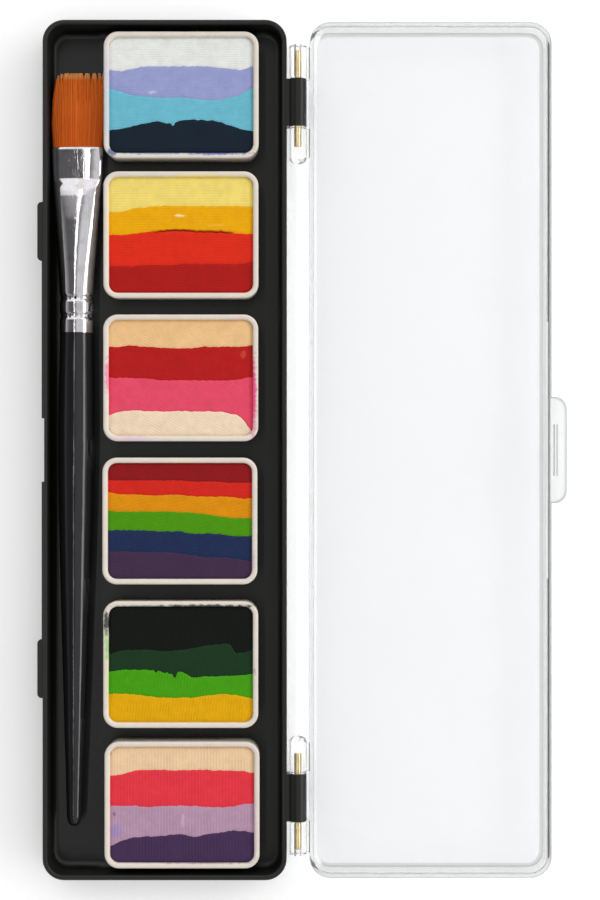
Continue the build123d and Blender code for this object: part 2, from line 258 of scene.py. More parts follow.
# Materials
def black_plastic():
    """Satin moulded polystyrene with a fine skin, faint flow marks and specks of dust."""
    material, tree, shader, place = new_material("tray_plastic")
    skin = grain(tree, place, 7.0, 2.0)
    flow = grain(tree, stretched(tree, place, (0.06, 0.012, 0.06)), 1.0, 4.0)
    dust = ranged(tree, grain(tree, place, 2.2, 6.0, 0.75), 0.66, 0.8)
    rubbed = grain(tree, stretched(tree, place, (3.0, 0.25, 1.0), 18), 1.0, 4.0, 0.7)
    scuff = ranged(tree, rubbed, 0.62, 0.74)
    dark_black, pale_black = (0.007, 0.007, 0.006, 1), (0.013, 0.013, 0.012, 1)
    dust_colour = (0.25, 0.24, 0.22, 1)
    base = mixed(tree, flow, dark_black, pale_black)
    base = mixed(tree, product(tree, dust, 0.14), base, dust_colour)
    rough = ranged(tree, flow, 0.3, 0.7, 0.27, 0.37)
    rough = total(tree, rough, product(tree, scuff, 0.12))
    connect(tree, shader, Base_Color=base, Roughness=rough, Normal=bump(tree, skin, 0.012))
    connect(tree, shader, Specular_IOR_Level=0.28)
    return material


def clear_plastic():
    """Clear polystyrene with faint scratches, which lets light through to the floor.

    Its grey tint is painted shade over what shows through it: darkest at the round edges, which paints
    the moulding's outline, lighter on the walls and the flat faces, and almost nothing at the hinges
    and on the wall beside them, which paints them lighter.
    """
    material, tree, shader, place = new_material("clear_plastic")
    scratch = grain(tree, stretched(tree, place, (4.0, 0.15, 1.0), 35), 1.0, 3.0, 0.7)
    wave = grain(tree, place, 0.05, 2.0)
    rough = ranged(tree, scratch, 0.55, 0.8, 0.01, 0.09)
    shift = bump(tree, wave, 0.05)
    facing = split(tree, node(tree, "ShaderNodeTexCoord").outputs["Normal"])
    level = size_of(tree, facing["Z"])
    sideways = size_of(tree, facing["X"])
    place_x = split(tree, place)["X"]
    # Painted shade: grey tints on the walls and flat faces dim what shows through the lid.
    painted_shade_wall_tint, painted_shade_flat_tint = (0.77, 0.775, 0.765, 1), (0.75, 0.752, 0.757, 1)
    # Painted shade: the darkest tint, at the round edges, paints the moulding's outline.
    painted_edge_shade_tint = (0.47, 0.475, 0.465, 1)
    # Painted light: nearly clear tints at the hinges and on the wall beside them paint them lighter
    # than the rest of the lid.
    painted_light_hinge_wall_tint, painted_light_hinge_tint = (0.92, 0.92, 0.91, 1), (0.96, 0.96, 0.95, 1)
    painted_edge_shade_mask = product(tree, ranged(tree, level, 0.1, 0.35), ranged(tree, level, 0.995, 0.9))
    painted_light_hinge_wall_mask = product(tree, ranged(tree, sideways, 0.15, 0.5), ranged(tree, place_x, 37, 36))
    away_from_painted_light_hinge = ranged(tree, place_x, 33.2, 33.7)
    tint = mixed(tree, ranged(tree, level, 0.1, 0.9), painted_shade_wall_tint, painted_shade_flat_tint)
    tint = mixed(tree, painted_edge_shade_mask, tint, painted_edge_shade_tint)
    tint = mixed(tree, painted_light_hinge_wall_mask, tint, painted_light_hinge_wall_tint)
    tint = mixed(tree, away_from_painted_light_hinge, painted_light_hinge_tint, tint)
    connect(tree, shader, Base_Color=tint, Roughness=rough, Normal=shift)
    connect(tree, shader, IOR=1.3, Transmission_Weight=0.94)
    through = node(tree, "ShaderNodeBsdfTransparent", {"Color": (0.94, 0.95, 0.96, 1)}).outputs[0]
    is_shadow = node(tree, "ShaderNodeLightPath").outputs["Is Shadow Ray"]
    either = node(tree, "ShaderNodeMixShader", {0: is_shadow, 1: shader.outputs[0], 2: through})
    tree.links.new(either.outputs[0], tree.nodes["Material Output"].inputs["Surface"])
    return material


def brass():
    """Drawn brass wire with streaks along it and dull patches."""
    material, tree, shader, place = new_material("pin_brass")
    streak = grain(tree, stretched(tree, place, (9.0, 0.25, 9.0)), 1.0, 4.0)
    tarnish = grain(tree, place, 0.5, 4.0)
    base = mixed(tree, streak, colour("9a7d50"), colour("eed9a8"))
    base = mixed(tree, ranged(tree, tarnish, 0.5, 0.75, 0.0, 0.5), base, colour("6b5236"))
    rough = ranged(tree, streak, 0.2, 0.8, 0.16, 0.38)
    connect(tree, shader, Base_Color=base, Metallic=1.0, Roughness=rough)
    connect(tree, shader, Normal=bump(tree, streak, 0.01))
    return material


def pan_plastic(number, origin, stains):
    """Warm white plastic, a little translucent, with paint smeared on the rim."""
    material, tree, shader, place = new_material(f"pan_plastic_{number}")
    cloud = grain(tree, place, 0.3, 3.0)
    base = mixed(tree, cloud, colour("d2c9bd"), colour("e1d9cd"))
    dirt = ranged(tree, grain(tree, place, 3.0, 5.0, 0.7), 0.62, 0.8, 0.0, 0.25)
    base = mixed(tree, dirt, base, colour("b9ac9c"))
    base = stained(tree, place, base, stains, origin)
    rough = ranged(tree, cloud, 0.3, 0.7, 0.28, 0.42)
    connect(tree, shader, Base_Color=base, Roughness=rough)
    connect(tree, shader, Normal=bump(tree, grain(tree, place, 1.2, 3.0), 0.02))
    connect(tree, shader, Subsurface_Weight=0.15, Subsurface_Scale=0.001)
    return material


def dry_paint(name, code, comb, origin, stains):
    """Pressed paint: mottled, dusty, and combed by the brush or the cloth that flattened it, with
    painted shade in the comb's grooves.
    """
    material, tree, shader, place = new_material(name)
    turn, period, wander, depth = comb
    one_band = 0.314
    inputs = {
        "Vector": stretched(tree, place, (1, 1, 1), turn),
        "Scale": one_band / period,
        "Distortion": wander,
        "Detail": 2.0,
        "Detail Scale": 0.6,
    }
    lines = node(tree, "ShaderNodeTexWave", inputs, wave_type="BANDS", bands_direction="X")
    patchy = ranged(tree, grain(tree, place, 0.22, 3.0), 0.35, 0.65, 0.25, 1.0)
    lines = product(tree, lines.outputs["Fac"], patchy)
    weave = grain(tree, stretched(tree, place, (1.1, 5.0, 1.0)), 1.0, 2.0)
    mottle = grain(tree, place, 0.5, 5.0, 0.65)
    fine = grain(tree, place, 9.0, 2.0)
    base = mixed(tree, ranged(tree, mottle, 0.3, 0.7), colour(code, 0.91), colour(code, 1.05))
    # Painted shade: the comb's grooves are darkened by the comb's depth figure.
    base = mixed(tree, product(tree, lines, depth), base, colour(code, 0.55))
    base = mixed(tree, ranged(tree, weave, 0.35, 0.65, 0.0, 0.16), base, colour(code, 0.72))
    base = stained(tree, place, base, stains, origin)
    height = total(tree, product(tree, lines, -1.0), product(tree, weave, 0.35))
    height = total(tree, height, product(tree, fine, 0.35))
    rough = ranged(tree, mottle, 0.3, 0.7, 0.52, 0.7)
    connect(tree, shader, Base_Color=base, Roughness=rough, Normal=bump(tree, height, 0.05))
    connect(tree, shader, Specular_IOR_Level=0.08)
    return material


def lacquer():
    """Black gloss lacquer over turned wood, with faint brush marks along it."""
    material, tree, shader, place = new_material("handle_lacquer")
    along = grain(tree, stretched(tree, place, (2.5, 0.08, 2.5)), 1.0, 4.0)
    speck = ranged(tree, grain(tree, place, 4.0, 4.0, 0.7), 0.66, 0.78)
    deep_black, worn_black = (0.005, 0.005, 0.006, 1), (0.012, 0.012, 0.014, 1)
    base = mixed(tree, along, deep_black, worn_black)
    base = mixed(tree, product(tree, speck, 0.1), base, (0.3, 0.3, 0.3, 1))
    rough = ranged(tree, along, 0.3, 0.7, 0.05, 0.11)
    connect(tree, shader, Base_Color=base, Roughness=rough, Normal=bump(tree, along, 0.012))
    connect(tree, shader, Specular_IOR_Level=0.45)
    return material


def bright_metal():
    """Nickel-plated brass tube, drawn lengthwise."""
    material, tree, shader, place = new_material("ferrule_metal")
    streak = grain(tree, stretched(tree, place, (6.0, 0.12, 6.0)), 1.0, 4.0)
    cloud = grain(tree, place, 0.35, 3.0)
    base = mixed(tree, streak, colour("bdbabf"), colour("e6e3e8"))
    base = mixed(tree, ranged(tree, cloud, 0.5, 0.7, 0.0, 0.4), base, colour("a9a08c"))
    rough = ranged(tree, streak, 0.3, 0.7, 0.04, 0.1)
    connect(tree, shader, Base_Color=base, Metallic=1.0, Roughness=rough)
    connect(tree, shader, Normal=bump(tree, streak, 0.008))
    return material


def filament():
    """Orange-brown nylon, darker at the ferrule and paler at the tips, varying by strand."""
    material, tree, shader, place = new_material("bristle_filament")
    to_tip = ranged(tree, split(tree, place)["Y"], mouth_y, mouth_y + bristle_length)
    base = mixed(tree, ranged(tree, to_tip, 0.0, 0.8), colour("c4560c"), colour("d3661a"))
    base = mixed(tree, ranged(tree, to_tip, 0.9, 1.0, 0.0, 0.75), base, colour("eab873"))
    strand_shade = grain(tree, stretched(tree, place, (6.0, 0.1, 6.0)), 1.0, 2.0)
    base = mixed(tree, ranged(tree, strand_shade, 0.45, 0.7, 0.0, 0.3), base, colour("9a400b"))
    connect(tree, shader, Base_Color=base, Roughness=0.42, Specular_IOR_Level=0.15)
    return material


# Sizes that the new pieces share with the solids they stand for
deck_top = 2.4
pan_size = (36.2, 29.6, 7.6)
pan_wall = 1.3
pan_floor = 1.2
pan_corner = 3.4
pan_slope = 0.2
pan_pitch = 33.1
pan_row_x = 3.7
pan_drift = [(0.1, 0.0), (0.05, 0.5), (0.0, 0.25), (-0.2, 0.0), (0.0, -0.35), (0.3, 0.0)]
cake_size = (pan_size[0] - 2 * pan_wall, pan_size[1] - 2 * pan_wall)
cake_corner = pan_corner - pan_wall
cake_top = deck_top + 7.0
cracked_cake, cracked_boundary = 1, 1
mouth_y = 71.0
bristle_length = 17.5

# The cakes from the head of the tray down. Each has its stripes' names and colours, and its comb
# marks as (turn in degrees, period, wander, depth); depth is how strongly the grooves are darkened,
# which is painted shade. Each boundary between two stripes is its height as a share of the cake's
# length, at even stations from left to right. A notch is a (boundary, x, half width, depth) bite out
# of one. The stains lie on the cake and on its pan.
cakes = [
    {
        "stripes": [
            ("mint_white", "e4e7e2"),
            ("lavender", "979dcb"),
            ("sky_blue", "6bb8cc"),
            ("navy", "17232f"),
        ],
        "comb": (90, 0.55, 1.2, 0.05),
        "boundaries": [
            (0.72, 0.71, 0.73, 0.75, 0.75, 0.75, 0.75, 0.75, 0.75, 0.74, 0.73, 0.72, 0.75),
            (0.56, 0.53, 0.50, 0.49, 0.48, 0.48, 0.48, 0.47, 0.46, 0.46, 0.48, 0.51, 0.57),
            (0.20, 0.21, 0.235, 0.257, 0.275, 0.255, 0.283, 0.29, 0.283, 0.275, 0.24, 0.21, 0.19),
        ],
        "notches": [(2, -1.9, 0.4, -0.7)],
        "cake_stains": [(-6.7, 0.7, 0.9, 0.5, "c9cfe6", 0.6)],
        "pan_stains": [
            (8.0, -13.55, 8.5, 0.5, "24379a", 0.85),
            (-6.0, -13.55, 9.0, 0.4, "3348a5", 0.6),
            (-16.2, -13.4, 1.1, 0.9, "1d2f86", 0.8),
            (-17.3, -3.6, 0.9, 9.0, "9cc3d8", 0.45),
            (-17.4, 6.5, 0.8, 6.0, "b9b6dd", 0.35),
        ],
    },
    {
        "stripes": [
            ("pale_yellow", "f1d972"),
            ("golden_orange", "eaa809"),
            ("orange_red", "dd2d1a"),
            ("crimson", "ac1b17"),
        ],
        "comb": (90, 0.6, 1.0, 0.07),
        "boundaries": [
            (0.70, 0.70, 0.73, 0.74, 0.75, 0.755, 0.75, 0.75, 0.75, 0.75, 0.75, 0.75, 0.74),
            (0.50, 0.50, 0.51, 0.525, 0.53, 0.54, 0.54, 0.535, 0.53, 0.53, 0.52, 0.51, 0.51),
            (0.23, 0.23, 0.23, 0.24, 0.24, 0.24, 0.25, 0.25, 0.25, 0.25, 0.25, 0.25, 0.27),
        ],
        "cake_stains": [(-0.4, 4.5, 1.2, 0.35, "f6e3a8", 0.8), (8.0, 2.3, 2.4, 0.4, "eeb53a", 0.5)],
        "pan_stains": [(5.5, 13.5, 8.5, 0.6, "ecd98a", 0.8), (-16.9, 4.0, 0.5, 7.0, "ecd98a", 0.35)],
    },
    {
        "stripes": [
            ("peach", "eec18a"),
            ("crimson", "b51d1c"),
            ("pink", "e54c67"),
            ("pale_beige", "efd7ba"),
        ],
        "comb": (118, 0.62, 0.8, 0.15),
        "boundaries": [
            (0.77, 0.77, 0.78, 0.77, 0.765, 0.757, 0.757, 0.757, 0.77, 0.77, 0.77, 0.77, 0.785),
            (0.50, 0.50, 0.50, 0.495, 0.485, 0.48, 0.48, 0.48, 0.48, 0.48, 0.48, 0.49, 0.51),
            (0.18, 0.21, 0.22, 0.215, 0.21, 0.21, 0.215, 0.21, 0.21, 0.21, 0.195, 0.16, 0.03),
        ],
        "cake_stains": [(14.6, 5.5, 0.7, 0.9, "cf5240", 0.5)],
        "pan_stains": [
            (16.95, -4.0, 0.8, 8.8, "e5528a", 0.95),
            (-17.0, 0.6, 0.6, 4.2, "e87aa0", 0.8),
            (-11.0, -14.1, 5.0, 0.5, "d7a9d6", 0.4),
            (13.5, 13.8, 3.0, 0.5, "e9b9c4", 0.4),
            (0.0, 13.5, 14.0, 0.35, "f0cf9d", 0.5),
        ],
    },
    {
        "stripes": [
            ("dark_crimson", "8e181c"),
            ("red", "d1281d"),
            ("orange", "da8c0d"),
            ("green", "4c930e"),
            ("blue", "212e52"),
            ("purple", "412e48"),
        ],
        "comb": (76, 0.8, 1.6, 0.12),
        "boundaries": [
            (0.85, 0.85, 0.85, 0.85, 0.85, 0.85, 0.85, 0.84, 0.84, 0.84, 0.83, 0.83, 0.83),
            (0.75, 0.73, 0.73, 0.725, 0.72, 0.725, 0.725, 0.715, 0.71, 0.71, 0.71, 0.695, 0.695),
            (0.59, 0.58, 0.58, 0.58, 0.58, 0.58, 0.575, 0.57, 0.56, 0.545, 0.53, 0.525, 0.525),
            (0.42, 0.42, 0.42, 0.42, 0.41, 0.41, 0.41, 0.39, 0.39, 0.39, 0.375, 0.37, 0.37),
            (0.235, 0.235, 0.235, 0.235, 0.23, 0.23, 0.22, 0.205, 0.19, 0.19, 0.18, 0.165, 0.15),
        ],
        "cake_stains": [],
        "pan_stains": [
            (0.0, 14.0, 6.0, 0.4, "ecdfae", 0.4),
            (17.1, -9.5, 0.5, 2.5, "c9a5c4", 0.5),
            (-17.0, -1.0, 0.35, 6.0, "d8c79a", 0.35),
        ],
    },
    {
        "stripes": [
            ("black", "121512"),
            ("dark_green", "1b371f"),
            ("bright_green", "459c11"),
            ("golden_yellow", "e0a609"),
        ],
        "comb": (8, 0.68, 2.6, 0.17),
        "boundaries": [
            (0.59, 0.62, 0.625, 0.625, 0.62, 0.615, 0.625, 0.64, 0.66, 0.67, 0.676, 0.60, 0.625),
            (0.434, 0.452, 0.452, 0.452, 0.445, 0.417, 0.434, 0.387, 0.395, 0.395, 0.40, 0.404, 0.417),
            (0.244, 0.244, 0.24, 0.23, 0.214, 0.209, 0.212, 0.214, 0.227, 0.24, 0.24, 0.227, 0.205),
        ],
        "notches": [
            (1, -5.8, 0.35, -0.5),
            (1, -1.4, 0.45, -1.1),
            (1, -3.2, 0.3, 0.3),
            (0, 12.7, 0.7, -0.7),
        ],
        "cake_stains": [],
        "pan_stains": [
            (-17.1, 9.6, 0.75, 2.6, "1a211e", 0.95),
            (7.0, 13.55, 10.5, 0.5, "1c2220", 0.9),
            (-8.0, 13.5, 8.0, 0.35, "2b312c", 0.6),
            (-17.1, 4.2, 0.55, 3.4, "7cc04a", 0.75),
            (-16.9, -4.0, 0.4, 6.0, "c5cf6a", 0.55),
            (17.2, -1.6, 0.4, 0.9, "9aa07a", 0.6),
        ],
    },
    {
        "stripes": [
            ("peach", "ecc9a0"),
            ("coral_red", "e23845"),
            ("lilac", "b391a9"),
            ("deep_purple", "453052"),
        ],
        "comb": (0, 0.72, 1.0, 0.13),
        "boundaries": [
            (0.75, 0.765, 0.79, 0.80, 0.80, 0.80, 0.795, 0.80, 0.80, 0.795, 0.793, 0.79, 0.775),
            (0.49, 0.49, 0.49, 0.48, 0.484, 0.489, 0.493, 0.489, 0.48, 0.48, 0.48, 0.50, 0.51),
            (0.14, 0.19, 0.216, 0.225, 0.23, 0.238, 0.243, 0.22, 0.243, 0.256, 0.274, 0.274, 0.26),
        ],
        "cake_stains": [
            (-5.6, 7.1, 0.45, 0.3, "c42a8e", 0.8),
            (-15.9, -2.2, 0.4, 0.5, "5a4a70", 0.6),
            (0.2, -3.6, 0.45, 1.6, "c9b2cf", 0.6),
            (-15.4, -6.0, 1.6, 1.8, "8f83c0", 0.5),
        ],
        "pan_stains": [
            (17.1, -6.5, 0.6, 7.0, "d3b4c6", 0.5),
            (0.0, 13.4, 15.0, 0.4, "e6bfa4", 0.5),
            (4.0, -13.4, 11.0, 0.35, "7b5f7a", 0.5),
            (-16.9, -2.0, 0.4, 9.0, "e9c3b5", 0.4),
        ],
    },
]


def pan_centre(number):
    """Where a pan stands on the deck, a little out of line with its neighbours."""
    row = (len(cakes) - 1) / 2 - number
    drift_x, drift_y = pan_drift[number]
    return (pan_row_x + drift_x, row * pan_pitch + drift_y)


def rounded_ring(centre, size, corner, z, steps=10):
    """The points of a level rounded rectangle, anticlockwise."""
    points = []
    for quarter, (side_x, side_y) in enumerate([(1, 1), (-1, 1), (-1, -1), (1, -1)]):
        corner_x = centre[0] + side_x * (size[0] / 2 - corner)
        corner_y = centre[1] + side_y * (size[1] / 2 - corner)
        for n in range(steps + 1):
            angle = math.radians(90 * (quarter + n / steps))
            points.append((corner_x + corner * math.cos(angle), corner_y + corner * math.sin(angle), z))
    return points


def build_pan(number):
    """A shallow tapered cup with a rounded rim, from a profile of (inset, height) points."""
    centre = pan_centre(number)
    width, length, height = pan_size
    outer_round, inner_round = 0.42, 0.5
    foot_bevel, floor_bevel, least_corner = 0.25, 0.4, 0.4
    steps = 6
    profile = [(pan_slope + foot_bevel, 0.0), (pan_slope, foot_bevel), (0.03, height - outer_round)]
    for n in range(1, steps + 1):
        angle = math.radians(90 * n / steps)
        inset = outer_round * (1 - math.cos(angle))
        profile.append((inset + 0.02, height - outer_round * (1 - math.sin(angle))))
    for n in range(1, steps + 1):
        angle = math.radians(90 * n / steps)
        inset = pan_wall - inner_round * (1 - math.sin(angle))
        profile.append((inset, height - inner_round * (1 - math.cos(angle))))
    profile += [(pan_wall, pan_floor + floor_bevel), (pan_wall + floor_bevel, pan_floor)]
    vertices = []
    for inset, z in profile:
        size = (width - 2 * inset, length - 2 * inset)
        corner = max(pan_corner - inset, least_corner)
        vertices += rounded_ring(centre, size, corner, deck_top + z)
    ring = len(vertices) // len(profile)
    faces = join_rings(len(profile), ring)
    faces.append(tuple(reversed(range(ring))))
    faces.append(tuple(range(len(vertices) - ring, len(vertices))))
    piece = new_piece(f"pan_{number + 1}_shell", vertices, faces)
    sharpen(piece, 60)
    material = pan_plastic(number + 1, centre, cakes[number]["pan_stains"])
    dress(piece, material, f"pan_{number + 1}", "pan_plastic", f"pan_{number + 1}")


def boundary_line(number, index, xs):
    """The y of one stripe boundary on the cake at each x, with a small wobble."""
    width, length = cake_size
    shares = cakes[number]["boundaries"][index]
    stations = [(n / (len(shares) - 1), share) for n, share in enumerate(shares)]
    broad, fine = 0.16, 0.09
    line = []
    for x in xs:
        share = blend_along(stations, x / width + 0.5)
        wobble = broad * noise.noise(Vector((x * 0.9, 7.3 * number, 3.1 * index)))
        wobble += fine * noise.noise(Vector((x * 3.1, 5.7 * number, 9.2 * index)))
        for boundary, place, half_width, depth in cakes[number].get("notches", []):
            if boundary == index:
                wobble += depth * math.exp(-(((x - place) / half_width) ** 4))
        line.append((share - 0.5) * length + wobble)
    return np.array(line)


def bell(distance, width):
    """1 at no distance, falling to 0 over about this width."""
    return math.exp(-((distance / width) ** 2))


def cake_surface(number, x, y, edge_distance, wall_distance):
    """The height of the dry paint: gently uneven, creased between stripes, low at the wall."""
    z = cake_top - 0.12
    z += 0.09 * noise.noise(Vector((x * 0.16, y * 0.2, 11.0 * number)))
    z += 0.03 * noise.noise(Vector((x * 0.8, y * 0.8, 5.0 * number)))
    z -= 0.10 * bell(edge_distance, 0.22)
    z -= 0.22 * bell(wall_distance, 0.35)
    return min(z, cake_top)


def crack_depth(x, distance):
    """How deep the dried crack is at a place along it and at a distance from it."""
    left, right, fade = 7.5, 12.5, 3
    if not -left < x < right:
        return 0.0
    return 1.6 * bell(distance, 0.13) * min(1.0, (right - x) / fade, (x + left) / fade)


def build_stripe(number, index):
    """One stripe of paint as a closed block with a modelled top."""
    width, length = cake_size
    centre = pan_centre(number)
    columns, rows = 130, 20
    xs = np.linspace(-width / 2, width / 2, columns)
    inset = np.clip(np.abs(xs) - (width / 2 - cake_corner), 0, None)
    outline = length / 2 - cake_corner + np.sqrt(np.clip(cake_corner**2 - inset**2, 0, None))
    boundaries = cakes[number]["boundaries"]
    if index == 0:
        upper = outline
    else:
        upper = np.clip(boundary_line(number, index - 1, xs), -outline, outline)
    if index == len(boundaries):
        lower = -outline
    else:
        lower = np.clip(boundary_line(number, index, xs), -outline, outline)
    far = 9.0
    vertices = []
    for row in range(rows):
        share = 0.5 - 0.5 * math.cos(math.pi * row / (rows - 1))
        for column, x in enumerate(xs):
            top, bottom = upper[column], lower[column]
            y = bottom + (top - bottom) * share
            to_upper = top - y if index > 0 else far
            to_lower = y - bottom if index < len(boundaries) else far
            wall = min(width / 2 - abs(x), outline[column] - abs(y))
            z = cake_surface(number, x, y, min(to_upper, to_lower), wall)
            if number == cracked_cake and index == cracked_boundary:
                z -= crack_depth(x, to_lower)
            if number == cracked_cake and index == cracked_boundary + 1:
                z -= crack_depth(x, to_upper)
            vertices.append((centre[0] + x, centre[1] + y, z))
    faces = []
    for row in range(rows - 1):
        for column in range(columns - 1):
            a = row * columns + column
            faces.append((a, a + 1, a + columns + 1, a + columns))
    rim = list(range(columns))
    rim += [row * columns + columns - 1 for row in range(1, rows)]
    rim += [(rows - 1) * columns + column for column in range(columns - 2, -1, -1)]
    rim += [row * columns for row in range(rows - 2, 0, -1)]
    base = len(vertices)
    vertices += [(vertices[n][0], vertices[n][1], deck_top + pan_floor) for n in rim]
    for n, corner in enumerate(rim):
        following = (n + 1) % len(rim)
        faces.append((corner, base + n, base + following, rim[following]))
    faces.append(tuple(reversed(range(base, base + len(rim)))))
    name, code = cakes[number]["stripes"][index]
    full_name = f"paint_{number + 1}_{name}"
    piece = new_piece(full_name, vertices, faces)
    sharpen(piece, 50)
    comb, stains = cakes[number]["comb"], cakes[number]["cake_stains"]
    material = dry_paint(full_name, code, comb, centre, stains)
    dress(piece, material, f"pan_{number + 1}", f"paint_{name}", f"cake_{number + 1}_{name}")


for number in range(len(cakes)):
    build_pan(number)
    for index in range(len(cakes[number]["stripes"])):
        build_stripe(number, index)


# The brush lies a little askew along the trough: its own coordinates are the distance from the
# ferrule's mouth towards the tips, the distance across and the height above its axis.
brush_origin = Vector((-20.75, mouth_y, 5.75))
brush_turn = math.radians(0.3)
brush_along = Vector((math.sin(brush_turn), math.cos(brush_turn), 0))
brush_across = Vector((math.cos(brush_turn), -math.sin(brush_turn), 0))
brush_roll = math.radians(4)

# Places on the ferrule run from its mouth back to the handle.
ferrule_length = 43.5
ferrule_wall = 0.35
crimps = (35.4, 39.6)
widths = [(0, 6.15), (12, 5.55), (24, 4.75), (34, 4.12), (36, 4.05), (ferrule_length, 4.05)]
heights = [(0, 1.8), (5.5, 1.78), (7.2, 1.76), (7.7, 1.86), (9.4, 2.75), (11.5, 3.2)]
heights += [(17, 3.6), (26, 3.95), (34, 4.05), (ferrule_length, 4.05)]
flatness = [(0, 3.4), (7, 3.3), (9.5, 2.8), (16, 2.4), (28, 2.05), (ferrule_length, 2.0)]

# The handle's radii run from the ferrule back to the tip.
tenon_length = 11.5
tenon_radius = 3.7
handle_profile = [(0, 3.93), (6, 4.05), (14, 4.18), (23, 4.25), (34, 4.14), (46, 3.88)]
handle_profile += [(70, 3.18), (95, 2.4), (108, 1.95), (113.6, 1.74), (115.0, 1.45)]
handle_profile += [(115.7, 0.85), (115.9, 0.2)]

tuft_half_width, tuft_half_height, tuft_flatness = 5.72, 1.38, 3.4
strand_count = 1500
# Where the tips part: the place across the tuft and how far down the slit reaches
slits = [(-4.3, 1.5), (-3.5, 1.9), (1.4, 1.7), (2.9, 2.4), (4.4, 2.6), (5.3, 1.6)]


def on_brush(along, across, up):
    """A point in the part's frame from one in the brush's own coordinates."""
    level = across * math.cos(brush_roll) - up * math.sin(brush_roll)
    height = across * math.sin(brush_roll) + up * math.cos(brush_roll)
    return tuple(brush_origin + brush_along * along + brush_across * level + Vector((0, 0, height)))


def oval_ring(along, half_width, half_height, squareness, count, dent=None):
    """A closed ring about the brush's axis; squareness 2 is an ellipse and more is flatter."""
    points = []
    for n in range(count):
        angle = 2 * math.pi * n / count
        x, z = math.cos(angle), math.sin(angle)
        across = math.copysign(abs(x) ** (2 / squareness), x)
        up = math.copysign(abs(z) ** (2 / squareness), z)
        size = dent(angle) if dent else 1.0
        points.append(on_brush(along, across * half_width * size, up * half_height * size))
    return points


def build_handle():
    """A turned handle that swells behind the ferrule and tapers to a rounded tip."""
    start = -ferrule_length
    count = 48
    vertices = oval_ring(start + tenon_length, tenon_radius, tenon_radius, 2, count)
    vertices += oval_ring(start, tenon_radius, tenon_radius, 2, count)
    places = np.concatenate([np.linspace(0, 113, 60), np.linspace(113.3, 115.9, 12)])
    for place in places:
        radius = blend_along(handle_profile, place)
        vertices += oval_ring(start - place, radius, radius, 2, count)
    rings = len(places) + 2
    faces = join_rings(rings, count)
    faces.append(tuple(reversed(range(count))))
    faces.append(tuple(range(len(vertices) - count, len(vertices))))
    piece = new_piece("handle", vertices, faces)
    sharpen(piece, 60)
    dress(piece, lacquer(), "brush", "handle_lacquer", "brush_handle")


def ferrule_shape(place):
    """Half width, half height and squareness of the ferrule at a distance from its mouth."""
    half_width = blend_along(widths, place)
    half_height = blend_along(heights, place)
    for crimp in crimps:
        dip = 0.36 * bell(place - crimp, 0.55)
        half_width -= dip
        half_height -= dip
    return half_width, half_height, blend_along(flatness, place)


def build_ferrule():
    """A drawn tube, pressed flat at the mouth, with two beaded crimps near the handle."""
    count = 136
    dents, dent_depth = 17, 0.075
    # The tube is closed inside by the bristles' glue and by the end of the handle's tenon.
    glue_place = 2.3
    tenon_end_place = ferrule_length - tenon_length
    lip_round = 0.06
    # The places crowd together at the shoulder of the pressed end and at the crimps.
    spans = [(0, 7, 12), (7.2, 12, 20), (12.6, 34, 30), (34.2, ferrule_length, 60)]
    places = np.concatenate([np.linspace(*span) for span in spans])

    def punched(place):
        """Small dents punched round each crimp."""
        nearest = min(crimps, key=lambda crimp: abs(place - crimp))
        depth = dent_depth * bell(place - nearest, 0.45)
        return lambda angle: 1 - depth * max(0.0, math.cos(dents * angle)) ** 1.5

    def ring(place, shrink):
        """The tube's section at a place, shrunk towards its axis."""
        half_width, half_height, squareness = ferrule_shape(place)
        size = (half_width - shrink, half_height - shrink)
        return oval_ring(-place, *size, squareness, count, punched(place))

    vertices = ring(glue_place, ferrule_wall) + ring(0.0, ferrule_wall)
    vertices += ring(0.0, lip_round) + ring(lip_round, 0.0)
    for place in places[1:]:
        vertices += ring(place, 0.0)
    vertices += ring(ferrule_length, ferrule_wall) + ring(tenon_end_place, ferrule_wall)
    rings = len(vertices) // count
    faces = join_rings(rings, count)
    faces.append(tuple(reversed(range(count))))
    faces.append(tuple(range(len(vertices) - count, len(vertices))))
    piece = new_piece("ferrule", vertices, faces)
    sharpen(piece, 50)
    dress(piece, bright_metal(), "brush", "ferrule_metal", "brush_ferrule")


